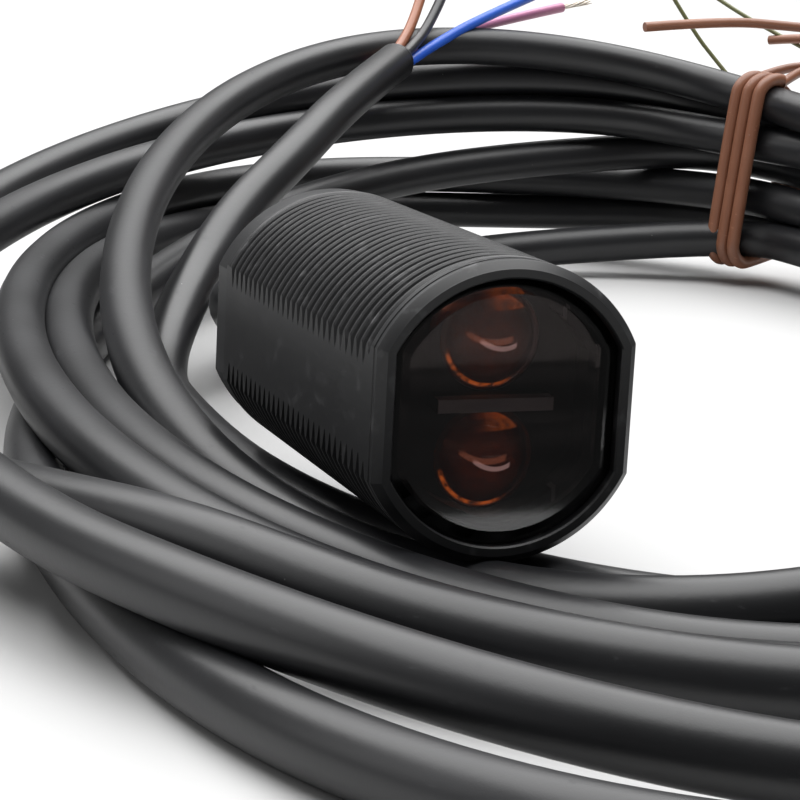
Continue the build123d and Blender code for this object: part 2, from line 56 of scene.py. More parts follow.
class Signal:
    """A value or colour that flows out of a shader node's socket."""

    def __init__(self, net: "Net", socket: bpy.types.NodeSocket) -> None:
        """Wrap a socket.

        Args:
            net: the material's net that the socket belongs to.
            socket: the output socket.
        """
        self.net = net
        self.socket = socket

    def maths(self, operation: str, first: "Signal | float", second: "Signal | float") -> "Signal":
        """Add a Math node.

        Args:
            operation: the node's operation.
            first: its first value.
            second: its second value.

        Returns:
            The node's result.
        """
        return self.net.add("ShaderNodeMath", {"operation": operation}, {0: first, 1: second})

    def __add__(self, other: "Signal | float") -> "Signal":
        """Add two values."""
        return self.maths("ADD", self, other)

    def __radd__(self, other: float) -> "Signal":
        """Add a value to a number."""
        return self.maths("ADD", other, self)

    def __sub__(self, other: "Signal | float") -> "Signal":
        """Take one value from another."""
        return self.maths("SUBTRACT", self, other)

    def __rsub__(self, other: float) -> "Signal":
        """Take a value from a number."""
        return self.maths("SUBTRACT", other, self)

    def __mul__(self, other: "Signal | float") -> "Signal":
        """Multiply two values."""
        return self.maths("MULTIPLY", self, other)

    def __rmul__(self, other: float) -> "Signal":
        """Multiply a number by a value."""
        return self.maths("MULTIPLY", other, self)

    def __pow__(self, other: float) -> "Signal":
        """Raise a value to a power."""
        return self.maths("POWER", self, other)

    def size(self) -> "Signal":
        """Give a value without its sign."""
        return self.maths("ABSOLUTE", self, 0.0)

    def sign(self) -> "Signal":
        """Give 1 for a positive value and -1 for a negative one."""
        return self.maths("SIGN", self, 0.0)

    def within(self, low: float, high: float, soft: float) -> "Signal":
        """Give 1 between two limits and 0 outside them, with soft steps."""
        return self.over(low - soft, low + soft) * (1 - self.over(high - soft, high + soft))

    def over(self, low: float, high: float) -> "Signal":
        """Give 0 below low and 1 above high, with a smooth step between them."""
        return self.net.add(
            "ShaderNodeMapRange",
            {"interpolation_type": "SMOOTHSTEP", "clamp": True},
            {"Value": self, "From Min": low, "From Max": high},
        )


class Net:
    """The node net of one material."""

    def __init__(self, name: str) -> None:
        """Start an empty material.

        Args:
            name: the material's name.
        """
        self.material = bpy.data.materials.new(name)
        self.material.use_nodes = True
        self.tree = self.material.node_tree
        self.tree.nodes.clear()

    def add(self, kind: str, settings: dict, values: dict, output: int | str = 0) -> Signal:
        """Add a node of any kind.

        Args:
            kind: the node's type.
            settings: its own settings, set first.
            values: numbers, colours or signals by input socket.
            output: the socket to give back.

        Returns:
            The chosen output.
        """
        node = self.tree.nodes.new(kind)
        for key, value in settings.items():
            setattr(node, key, value)
        for key, value in values.items():
            if isinstance(value, Signal):
                self.tree.links.new(value.socket, node.inputs[key])
            else:
                node.inputs[key].default_value = value
        return Signal(self, node.outputs[output] if node.outputs else None)

    def place(self) -> Signal:
        """Give the place on the object, in metres, in the part's own frame."""
        return self.add("ShaderNodeTexCoord", {}, {}, "Object")

    def axis(self, letter: str) -> Signal:
        """Give one coordinate of the place on the object, in millimetres."""
        return self.add("ShaderNodeSeparateXYZ", {}, {"Vector": self.place()}, letter) * (1 / MM)

    def stretched(self, scale: Point) -> Signal:
        """Give the place on the object, scaled differently along its axes."""
        return self.add("ShaderNodeMapping", {}, {"Vector": self.place(), "Scale": scale})

    def noise(self, size: float, detail: float = 3.0, where: Signal | None = None) -> Signal:
        """Add soft noise.

        Args:
            size: the size of its spots, in millimetres.
            detail: how many finer layers lie in it.
            where: the place that it is read at.

        Returns:
            The noise, about 0.5 on the whole.
        """
        vector = where or self.place()
        values = {"Vector": vector, "Scale": 1 / (size * MM), "Detail": detail}
        return self.add("ShaderNodeTexNoise", {}, values)

    def cells(self, size: float) -> Signal:
        """Give the distance to the nearest of scattered points, for cells of a size in millimetres."""
        return self.add("ShaderNodeTexVoronoi", {}, {"Vector": self.place(), "Scale": 1 / (size * MM)})

    def mix(self, factor: Signal | float, first: Signal | Colour, second: Signal | Colour) -> Signal:
        """Mix two colours.

        Args:
            factor: 0 for the first colour and 1 for the second.
            first: the first colour.
            second: the second colour.

        Returns:
            The mixed colour.
        """
        values = {0: factor}
        for key, colour in ((6, first), (7, second)):
            values[key] = colour if isinstance(colour, Signal) else (*colour, 1.0)
        return self.add("ShaderNodeMix", {"data_type": "RGBA"}, values, 2)

    def bump(self, height: Signal, depth: float, strength: float = 1.0) -> Signal:
        """Turn a height into a surface normal.

        Args:
            height: the height, from 0 to 1.
            depth: what a height of 1 stands for, in millimetres.
            strength: how much of the effect shows.

        Returns:
            The normal.
        """
        values = {"Height": height, "Distance": depth * MM, "Strength": strength}
        return self.add("ShaderNodeBump", {}, values)

    def finish(self, **sockets: "Signal | float | tuple") -> bpy.types.Material:
        """Close the net with a Principled shader.

        Args:
            sockets: values for its sockets, with _ for each space in a socket's name.

        Returns:
            The material.
        """
        values = {key.replace("_", " "): value for key, value in sockets.items()}
        for key in ("Base Color", "Specular Tint", "Sheen Tint"):
            if isinstance(values.get(key), tuple) and len(values[key]) == 3:
                values[key] = (*values[key], 1.0)
        shader = self.add("ShaderNodeBsdfPrincipled", {}, values)
        self.add("ShaderNodeOutputMaterial", {}, {"Surface": shader})
        return self.material


class Sheen(Enum):
    """How a moulded surface takes the light."""

    MATTE = 0.62
    SATIN = 0.42
    POLISHED = 0.12


@dataclass(frozen=True)
class MouldedPlastic:
    """Plastic with a fine spark-eroded grain, slow colour drift, dust, rubbed spots and, on marked edges, a
    paler colour that is partly rub and partly a painted highlight.
    """

    name: str
    colour: Colour
    sheen: Sheen = Sheen.SATIN
    grain: float = 0.12
    grain_depth: float = 0.004
    rubbed_and_highlight: Colour = (0.1, 0.1, 0.1)
    dust: float = 0.35
    edge: str = ""

    def make(self) -> bpy.types.Material:
        """Make the material."""
        net = Net(self.name)
        drift = net.noise(6.0, 4.0)
        grain = net.noise(self.grain, 2.0)
        scuff = net.noise(1.3, 6.0).over(0.56, 0.74)
        dark = tuple(0.82 * c for c in self.colour)
        colour = net.mix(drift.over(0.3, 0.7), dark, self.colour)
        specks = 1 - net.cells(0.9).over(0.03, 0.075)
        dust = specks * net.noise(2.4, 2.0).over(0.5, 0.62) * self.dust
        rub_and_crest_highlight = scuff * 0.22
        # Marked edges, such as the thread's crests, are painted paler: partly rub wear, partly a painted
        # highlight.
        if self.edge:
            edge = net.add("ShaderNodeAttribute", {"attribute_name": self.edge}, {}, "Fac")
            rub_and_crest_highlight = rub_and_crest_highlight + edge * (0.25 + scuff * 0.55)
        colour = net.mix(rub_and_crest_highlight, colour, self.rubbed_and_highlight)
        colour = net.mix(dust, colour, (0.35, 0.34, 0.32))
        roughness = self.sheen.value + (drift - 0.5) * 0.16 + scuff * 0.1
        normal = net.bump(grain + specks * 0.6, self.grain_depth)
        return net.finish(Base_Color=colour, Roughness=roughness, Normal=normal, IOR=1.5)


@dataclass(frozen=True)
class Vinyl:
    """Soft extruded vinyl: a faint orange-peel skin, dull and shiny patches, small nicks and lint."""

    name: str
    colour: Colour
    pale: Colour
    roughness: float = 0.40
    skin: float = 0.55
    index: float = 1.54

    def make(self) -> bpy.types.Material:
        """Make the material."""
        net = Net(self.name)
        patches = net.noise(14.0, 5.0)
        skin = net.noise(self.skin, 2.0)
        fine = net.noise(0.09, 1.0)
        nicks = net.noise(0.8, 5.0, net.stretched((1.0, 0.35, 2.2))).over(0.66, 0.74)
        lint = (1 - net.cells(2.2).over(0.012, 0.04)) * net.noise(5.0, 1.0).over(0.52, 0.6)
        colour = net.mix(patches.over(0.32, 0.72), self.colour, self.pale)
        colour = net.mix(nicks * 0.35, colour, tuple(min(1.6 * c + 0.02, 1.0) for c in self.pale))
        colour = net.mix(lint * 0.6, colour, (0.4, 0.4, 0.38))
        roughness = self.roughness + (patches - 0.5) * 0.14 + nicks * 0.12
        normal = net.bump(skin * 0.6 + fine * 0.25 + lint, 0.012)
        return net.finish(Base_Color=colour, Roughness=roughness, Normal=normal, IOR=self.index)


@dataclass(frozen=True)
class ClearPlastic:
    """Tinted see-through plastic with faint wipe marks and settled dust."""

    name: str
    tint: Colour
    roughness: float = 0.03
    index: float = 1.49
    dust: float = 0.5
    through: float = 1.0

    def make(self) -> bpy.types.Material:
        """Make the material."""
        net = Net(self.name)
        wipes = net.noise(3.0, 4.0, net.stretched((0.4, 1.0, 2.0)))
        specks = (1 - net.cells(1.1).over(0.018, 0.04)) * net.noise(2.0, 1.0).over(0.5, 0.62)
        colour = net.mix(specks * self.dust, self.tint, (0.7, 0.7, 0.68))
        roughness = self.roughness + wipes.over(0.55, 0.8) * 0.04 + specks * 0.4
        normal = net.bump(wipes, 0.002, 0.3)
        return net.finish(
            Base_Color=colour,
            Roughness=roughness,
            Normal=normal,
            IOR=self.index,
            Transmission_Weight=self.through,
        )


@dataclass(frozen=True)
class SmokedWindow:
    """Dark polished pane whose face leans back a little, with faint wipe marks and settled dust."""

    name: str
    tint: Colour
    lean: float = 8.5
    face: tuple[float, float] = (0.9, 1.1)
    roughness: float = 0.035

    def make(self) -> bpy.types.Material:
        """Make the material."""
        net = Net(self.name)
        front = 1 - net.axis("Y").over(*self.face)
        specks = (1 - net.cells(1.3).over(0.018, 0.045)) * net.noise(2.0, 1.0).over(0.54, 0.6) * front
        wipes = net.noise(3.0, 4.0, net.stretched((0.4, 1.0, 2.0))).over(0.55, 0.8)
        colour = net.mix(specks, self.tint, (0.8, 0.8, 0.78))
        slope = net.axis("Z") * front * -math.tan(math.radians(self.lean))
        return net.finish(
            Base_Color=colour,
            Roughness=self.roughness + wipes * 0.02 + specks * 0.4,
            Normal=net.bump(slope, 1.0),
            IOR=1.5,
            Transmission_Weight=1.0,
        )


@dataclass(frozen=True)
class LensPlastic:
    """Amber moulded lens with painted light given out as emission: an orange glow painted on its rim, its
    flats and the foot of its dome, and a pale painted highlight.
    """

    name: str
    tint: Colour
    radius: float = 3.15
    height: float = 3.6
    # Painted light: these colours are given out as emission, an orange glow for the rim and flats, a pale
    # painted highlight arch, and a faint glow in the lens body.
    rim: Colour = (1.0, 0.22, 0.03)
    flat: Colour = (0.4, 0.09, 0.012)
    painted_glint: Colour = (0.62, 0.42, 0.4)
    body: Colour = (0.05, 0.010, 0.004)
    painted_glow: float = 0.6
    rim_reach: tuple[float, float] = (0.86, 0.93)
    flat_height: tuple[float, float] = (0.58, 0.95)
    arch_middle: tuple[float, float] = (0.12, 0.62)
    arch_reach: tuple[float, float] = (0.68, 0.77)
    arch_ends: tuple[float, float] = (-0.35, 0.4)

    def make(self) -> bpy.types.Material:
        """Make the material."""
        net = Net(self.name)
        across = net.axis("X") * (1 / self.radius)
        upright = net.axis("Z")
        up = (upright - upright.sign() * self.height) * (1 / self.radius)
        reach = (across * across + up * up) ** 0.5
        streaks = net.noise(0.5, 3.0)
        # Painted light: masks for an orange glow round the lower left of the rim, in a band near the top and
        # in the middle, and for a pale highlight arch on the lower half.
        low_left = (1 - up.over(-0.4, -0.16)) * (1 - across.over(0.1, 0.6))
        rim = reach.within(*self.rim_reach, 0.025) * low_left * streaks.over(0.3, 0.62)
        inside = 1 - reach.over(self.rim_reach[0], self.rim_reach[0] + 0.04)
        flat = up.within(*self.flat_height, 0.02) * inside * across.over(-0.28, 0.3)
        beside, above = across - self.arch_middle[0], up - self.arch_middle[1]
        arch = (beside * beside + above * above) ** 0.5
        painted_glint = arch.within(*self.arch_reach, 0.015) * across.within(*self.arch_ends, 0.03)
        painted_glint = painted_glint * (1 - up.over(0.0, 0.1))
        body = (1 - reach.over(0.3, 0.8)) * streaks.over(0.2, 0.8)
        light = net.mix(body, (0.0, 0.0, 0.0), self.body)
        light = net.mix(flat * streaks.over(0.1, 0.7), light, self.flat)
        light = net.mix(rim, light, self.rim)
        light = net.mix(painted_glint, light, self.painted_glint)
        colour = net.mix(streaks * 0.2, self.tint, tuple(0.7 * c for c in self.tint))
        return net.finish(
            Base_Color=colour,
            Roughness=0.04 + streaks * 0.04,
            Normal=net.bump(streaks, 0.002, 0.3),
            IOR=1.53,
            Transmission_Weight=0.7,
            Emission_Color=light,
            Emission_Strength=self.painted_glow,
        )


@dataclass(frozen=True)
class HolderPlastic:
    """Black holder with painted light: the front faces of its partition bar, upper lip and side rib are
    painted a paler grey for the light they catch through the window.
    """

    name: str
    colour: Colour
    pale: Colour
    bar: tuple[float, float] = (3.7, 0.45)
    lip: tuple[float, float] = (6.0, 6.3)
    lip_foot: tuple[float, float] = (3.8, 4.1)
    rib: tuple[float, float] = (3.9, 4.15)
    front: float = 3.2

    def make(self) -> bpy.types.Material:
        """Make the material."""
        net = Net(self.name)
        across, back, up = net.axis("X"), net.axis("Y"), net.axis("Z")
        grain = net.noise(0.15, 3.0)
        # Painted light: only the faces nearest the window take the pale grey.
        painted_light_front = 1 - back.over(self.front - 0.2, self.front)
        half_long, half_high = self.bar
        bar = 1 - across.size().over(half_long - 0.1, half_long)
        bar = bar * (1 - up.size().over(half_high - 0.08, half_high))
        reach = (across * across + up * up) ** 0.5
        lip = reach.within(*self.lip, 0.05) * up.over(*self.lip_foot)
        rib = across.within(*self.rib, 0.04) * 0.35
        # Painted highlight: bar, lip and rib mixed toward pale grey, standing in for light caught through the
        # window.
        colour = net.mix((bar + lip * 0.6 + rib) * painted_light_front, self.colour, self.pale)
        roughness = 0.55 + grain * 0.1
        return net.finish(Base_Color=colour, Roughness=roughness, Normal=net.bump(grain, 0.006), IOR=1.5)


@dataclass(frozen=True)
class Metal:
    """Plated or bare metal with fine draw lines and dull spots."""

    name: str
    colour: Colour
    roughness: float = 0.28

    def make(self) -> bpy.types.Material:
        """Make the material."""
        net = Net(self.name)
        lines = net.noise(0.4, 4.0, net.stretched((6.0, 0.5, 6.0)))
        spots = net.noise(1.0, 3.0).over(0.45, 0.7)
        colour = net.mix(spots * 0.5, self.colour, tuple(0.6 * c for c in self.colour))
        roughness = self.roughness + lines * 0.14 + spots * 0.1
        return net.finish(Base_Color=colour, Roughness=roughness, Metallic=1.0, Normal=net.bump(lines, 0.003))


@dataclass(frozen=True)
class CircuitBoard:
    """Solder mask over copper tracks, with the laminate's weave under it."""

    name: str
    mask: Colour = (0.02, 0.14, 0.06)
    track: Colour = (0.05, 0.26, 0.11)
    pitch: float = 1.1

    def make(self) -> bpy.types.Material:
        """Make the material."""
        net = Net(self.name)
        bricks = {"Vector": net.place(), "Scale": 1 / (self.pitch * MM), "Mortar Size": 0.11}
        tracks = net.add("ShaderNodeTexBrick", {"offset": 0.5, "squash": 0.6}, bricks, 1)
        weave = net.noise(0.25, 1.0, net.stretched((1.0, 4.0, 1.0)))
        colour = net.mix(tracks, self.mask, self.track)
        colour = net.mix(weave * 0.3, colour, tuple(0.7 * c for c in self.mask))
        normal = net.bump(tracks + weave * 0.2, 0.03)
        return net.finish(Base_Color=colour, Roughness=0.3 + weave * 0.15, Normal=normal)


@dataclass(frozen=True)
class Paper:
    """The plain pale sheet that the object stands on."""

    name: str = "pale_sheet"
    colour: Colour = (0.53, 0.53, 0.529)

    def make(self) -> bpy.types.Material:
        """Make the material."""
        net = Net(self.name)
        tooth = net.noise(0.6, 3.0)
        colour = net.mix(tooth * 0.2, self.colour, tuple(0.97 * c for c in self.colour))
        return net.finish(Base_Color=colour, Roughness=0.75, Normal=net.bump(tooth, 0.01))


FINISHES = {
    # The barrel's crests get a paler colour, partly rub and partly a painted highlight.
    "barrel_plastic": MouldedPlastic(
        "barrel_black", (0.010, 0.0102, 0.0112), rubbed_and_highlight=(0.13, 0.13, 0.134), edge="crest"
    ),
    "window_plastic": SmokedWindow("window_smoked", (0.42, 0.36, 0.35)),
    "seal_rubber": MouldedPlastic("seal_black", (0.012, 0.012, 0.012), Sheen.MATTE),
    "holder_plastic": HolderPlastic("holder_black", (0.006, 0.0055, 0.0055), (0.6, 0.62, 0.64)),
    "lens_plastic": LensPlastic("lens_amber", (0.5, 0.12, 0.04)),
    "led_plastic": ClearPlastic("light_source_red", (0.85, 0.25, 0.2), 0.08, 1.5, dust=0.0),
    "diode_plastic": MouldedPlastic("receiver_dark_red", (0.09, 0.02, 0.03), Sheen.POLISHED, dust=0.0),
    "board_laminate": CircuitBoard("board_green"),
    "chip_plastic": MouldedPlastic("package_black", (0.025, 0.025, 0.026), Sheen.MATTE, dust=0.0),
    "capacitor_ceramic": MouldedPlastic("capacitor_tan", (0.5, 0.36, 0.22), Sheen.SATIN, dust=0.0),
    "resistor_ceramic": MouldedPlastic("resistor_slate", (0.06, 0.06, 0.075), Sheen.SATIN, dust=0.0),
    "trimmer_plastic": MouldedPlastic("trimmer_blue", (0.05, 0.12, 0.42), Sheen.POLISHED, dust=0.0),
    "adjuster_plastic": MouldedPlastic("adjuster_cream", (0.78, 0.74, 0.64), rubbed_and_highlight=(0.5, 0.46, 0.38)),
    "guide_plastic": ClearPlastic("guide_orange", (0.98, 0.45, 0.16), 0.06, 1.5, dust=0.0),
    "cap_plastic": MouldedPlastic("cap_black", (0.024, 0.0245, 0.026)),
    "bushing_rubber": Vinyl("bushing_black", (0.014, 0.014, 0.015), (0.024, 0.024, 0.026), 0.55),
    "clamp_metal": Metal("clamp_nickel", (0.62, 0.6, 0.56)),
    "cable_vinyl": Vinyl("lead_black", (0.0075, 0.0078, 0.009), (0.0125, 0.0128, 0.0148)),
    "core_brown": Vinyl("core_brown", (0.26, 0.085, 0.04), (0.36, 0.13, 0.065), 0.4, 0.3),
    "core_black": Vinyl("core_black", (0.022, 0.022, 0.024), (0.04, 0.04, 0.044), 0.4, 0.3),
    "core_blue": Vinyl("core_blue", (0.015, 0.09, 0.55), (0.03, 0.14, 0.68), 0.4, 0.3),
    "core_pink": Vinyl("core_pink", (0.62, 0.2, 0.36), (0.74, 0.3, 0.46), 0.4, 0.3),
    "conductor_tin": Metal("conductor_tinned", (0.72, 0.66, 0.58), 0.3),
    "tie_plastic": Vinyl("tie_copper_brown", (0.24, 0.095, 0.05), (0.34, 0.15, 0.09), 0.42, 0.4),
    "tie_wire": Vinyl("tie_wire_olive", (0.16, 0.17, 0.07), (0.22, 0.22, 0.1), 0.4, 0.3),
}
MADE: dict[str, bpy.types.Material] = {}


def finish_of(slot: str) -> bpy.types.Material:
    """Make a slot's material once and give it out afterwards.

    Args:
        slot: the record's material slot.

    Returns:
        The material.
    """
    if slot not in MADE:
        MADE[slot] = FINISHES[slot].make()
    return MADE[slot]


def dress(piece: bpy.types.Object, slot: str) -> None:
    """Put one finish on the whole of a piece."""
    piece.data.materials.clear()
    piece.data.materials.append(finish_of(slot))


def mesh_piece(
    name: str, points: list, faces: list, slot: str, body: str, sharp: float = 35.0, weld: float = 0.0004
) -> bpy.types.Object:
    """Make a piece from points and faces.

    Args:
        name: the piece's name.
        points: its points, in millimetres.
        faces: its faces, as rows of point numbers.
        slot: the record's material slot.
        body: the CAD body that it rides on.
        sharp: edges that turn by more than this many degrees stay sharp.
        weld: points nearer than this, in millimetres, become one.

    Returns:
        The piece.
    """
    mesh = bpy.data.meshes.new(name)
    mesh.from_pydata([Vector(p) * MM for p in points], [], faces)
    work = bmesh.new()
    work.from_mesh(mesh)
    bmesh.ops.remove_doubles(work, verts=work.verts, dist=weld * MM)
    bmesh.ops.dissolve_degenerate(work, edges=work.edges, dist=weld * MM)
    bmesh.ops.recalc_face_normals(work, faces=work.faces)
    work.to_mesh(mesh)
    work.free()
    mesh.shade_smooth()
    mesh.set_sharp_from_angle(angle=math.radians(sharp))
    piece = bpy.data.objects.new(name, mesh)
    bpy.context.scene.collection.objects.link(piece)
    return settle_in(piece, slot, body)


def settle_in(piece: bpy.types.Object, slot: str, body: str) -> bpy.types.Object:
    """Dress a new piece and let it ride on its body."""
    dress(piece, slot)
    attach(piece, body)
    LOG.info("%s: %s on %s", piece.name, slot, body)
    return piece


def grid_faces(rows: int, columns: int) -> list[tuple[int, int, int, int]]:
    """List the faces of an open grid of points, row after row."""
    return [
        (r * columns + c, r * columns + c + 1, (r + 1) * columns + c + 1, (r + 1) * columns + c)
        for r in range(rows - 1)
        for c in range(columns - 1)
    ]


def nurbs_piece(
    name: str, points: list[Point], width: float, slot: str, body: str, steps: int = 6, round_steps: int = 6
) -> bpy.types.Object:
    """Make a round strand along a smooth open curve.

    Args:
        name: the piece's name.
        points: the curve's control points, in millimetres.
        width: the strand's diameter, in millimetres.
        slot: the record's material slot.
        body: the CAD body that it rides on.
        steps: how finely each stretch is divided.
        round_steps: how finely its section is divided.

    Returns:
        The strand.
    """
    curve = bpy.data.curves.new(name, "CURVE")
    curve.dimensions = "3D"
    spline = curve.splines.new("NURBS")
    spline.points.add(len(points) - 1)
    for target, point in zip(spline.points, points):
        target.co = (point[0] * MM, point[1] * MM, point[2] * MM, 1.0)
    spline.order_u = 3
    spline.use_endpoint_u = True
    spline.use_smooth = True
    curve.resolution_u = steps
    curve.bevel_depth = width / 2 * MM
    curve.bevel_resolution = round_steps
    curve.use_fill_caps = True
    piece = bpy.data.objects.new(name, curve)
    bpy.context.scene.collection.objects.link(piece)
    return settle_in(piece, slot, body)


@dataclass
class ThreadedBarrel:
    """The sensor's barrel: a screw thread cut by two side flats, round a pocket and a cavity."""

    radius: float = 9.0
    half_flat: float = 8.1
    length: float = 30.1
    start: float = 1.5
    end: float = 29.6
    pitch: float = 1.0
    depth: float = 0.5
    crest: float = 0.2
    root: float = 0.08
    fade: float = 0.55
    rows_a_turn: int = 10
    arc_steps: int = 44
    flat_steps: int = 6
    pocket: tuple[float, float] = (7.93, 7.03)
    cavity: tuple[float, float] = (7.4, 6.6)
    pocket_depth: float = 2.1
    rim_edge: float = 0.1
    rim: tuple[tuple[float, float], ...] = ((0.0, 0.5), (0.07, 0.44), (0.42, 0.06), (0.5, 0.0))
    line: tuple[float, float, float, float] = (0.84, 0.9, 1.0, 1.06)
    line_depth: tuple[float, float] = (0.13, 0.1)

    def groove(self, phase: float) -> float:
        """Depth of the thread at a phase of its turn, as a share of the full depth."""
        away = abs(phase - 0.5) * 2
        slope = max(0.0, 1 - max(0.0, away - self.root) / (1 - self.crest - self.root))
        return slope * slope * (3 - 2 * slope)

    def angles(self, radius: float, half_flat: float) -> list[float]:
        """Directions round a section, from its lowest point, that meet the flats' corners.

        Args:
            radius: the section's radius.
            half_flat: half its width across the flats.

        Returns:
            Angles in radians, from -90 to 270 degrees.
        """
        corner = math.acos(min(half_flat / radius, 1.0))
        rise = math.tan(corner)
        quarter = [-math.pi / 2 + (math.pi / 2 - corner) * i / self.arc_steps for i in range(self.arc_steps)]
        side = [math.atan(rise * (2 * i / self.flat_steps - 1)) for i in range(self.flat_steps)]
        top = [corner + (math.pi / 2 - corner) * i / self.arc_steps for i in range(self.arc_steps)]
        right = quarter + side + top
        return [*right, math.pi / 2, *(math.pi - a for a in reversed(right))]

    def ring(self, radius: float, half_flat: float, y: float) -> list[Point]:
        """One closed section of the barrel, its last point on its first."""
        points = []
        for angle in self.angles(radius, half_flat):
            across = abs(math.cos(angle))
            reach = min(radius, half_flat / across) if across > 1e-9 else radius
            points.append((reach * math.cos(angle), y, reach * math.sin(angle)))
        return points

    def thread_row(self, lead: float) -> list[Point]:
        """One row of points along the thread's helix.

        Args:
            lead: where the row starts on the barrel's axis.

        Returns:
            Points of the row, held between the thread's two ends.
        """
        share = self.groove(((lead - self.start) / self.pitch) % 1.0)
        row = []
        base = self.radius - self.depth * share
        for angle_at_crest, angle_at_base in zip(
            self.angles(self.radius, self.half_flat), self.angles(base, self.half_flat)
        ):
            y = lead + self.pitch * (angle_at_crest + math.pi / 2) / math.tau
            y = min(max(y, self.start), self.end)
            run = min((y - self.start) / self.fade, (self.end - y) / self.fade, 1.0)
            run = run * run * (3 - 2 * run)
            angle = angle_at_crest + (angle_at_base - angle_at_crest) * run
            radius = self.radius - self.depth * share * run
            across = abs(math.cos(angle))
            reach = min(radius, self.half_flat / across) if across > 1e-9 else radius
            row.append((reach * math.cos(angle), y, reach * math.sin(angle)))
        return row

    def rows(self) -> list[list[Point]]:
        """All sections, from the cavity's back round the front rim to the barrel's back."""
        inner, inner_flat = self.pocket
        sections = [
            (self.length, *self.cavity),
            (self.pocket_depth, *self.cavity),
            (self.pocket_depth, *self.pocket),
            (self.rim_edge, *self.pocket),
            (0.0, inner + self.rim_edge, inner_flat + self.rim_edge),
        ]
        sections += [(y, self.radius - cut, self.half_flat - cut) for y, cut in self.rim]
        for y, sunk in zip(self.line, (0, 1, 1, 0)):
            round_cut, flat_cut = (sunk * cut for cut in self.line_depth)
            sections.append((y, self.radius - round_cut, self.half_flat - flat_cut))
        sections.append((self.start, self.radius, self.half_flat))
        rows = [self.ring(radius, flat, y) for y, radius, flat in sections]
        count = int((self.end - self.start + self.pitch) / self.pitch * self.rows_a_turn)
        for index in range(count + 1):
            rows.append(self.thread_row(self.start - self.pitch + index * self.pitch / self.rows_a_turn))
        rows.append(self.ring(self.radius, self.half_flat, self.end))
        rows.append(self.ring(self.radius, self.half_flat, self.length))
        rows.append(rows[0])
        return rows

    def build(self) -> bpy.types.Object:
        """Build the barrel and mark how proud each point of its thread stands; the mark paints its crests
        paler, partly as rub and partly as a painted highlight.
        """
        rows = self.rows()
        points = [point for row in rows for point in row]
        piece = mesh_piece(
            "barrel", points, grid_faces(len(rows), len(rows[0])), "barrel_plastic", "sensor", sharp=16.0
        )
        # The crest mark gives the crests a paler colour: partly rub, partly painted highlight.
        edge = piece.data.attributes.new("crest", "FLOAT", "POINT")
        for vertex in piece.data.vertices:
            x, y, z = vertex.co / MM
            reach = math.hypot(x, z)
            proud = max(0.0, min(1.0, (reach - self.radius + 0.12) / 0.12))
            on_flat = abs(abs(x) - self.half_flat) < 0.02
            edge.data[vertex.index].value = 0.0 if on_flat else proud * 0.55
        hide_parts("housing_barrel")
        return piece


@dataclass(frozen=True)
class Turn:
    """One loop of the coiled lead: an oval whose back end lies on the coil's common apex.

    Sizes are in millimetres and heights are those of the strand's middle above the floor.
    """

    half_width: float
    half_length: float
    shift: float
    apex_gap: float
    heights: tuple[float, float, float, float, float]

    def blend(self, other: "Turn", share: float) -> "Turn":
        """Give the turn that lies between this one and another.

        Args:
            other: the turn reached when share is 1.
            share: how far along the change is, from 0 to 1.

        Returns:
            A turn with every size mixed.
        """
        mixed = [(1 - share) * a + share * b for a, b in zip(self.sizes(), other.sizes())]
        return Turn(*mixed[:4], tuple(mixed[4:]))

    def sizes(self) -> list[float]:
        """List the turn's sizes and heights in one row."""
        return [self.half_width, self.half_length, self.shift, self.apex_gap, *self.heights]

    @staticmethod
    def level(front: float, left: float, back: float, right: float) -> tuple[float, ...]:
        """Turn four heights round a loop into the terms that `place` adds up.

        Args:
            front: height at the end nearest the sensing face.
            left: height at the left side.
            back: height at the apex.
            right: height at the right side.

        Returns:
            The mean and the cosine, sine, double cosine and double sine terms.
        """
        mean = (front + left + back + right) / 4
        return mean, (right - left) / 2, (back - front) / 2, (right + left - back - front) / 4, 0.0


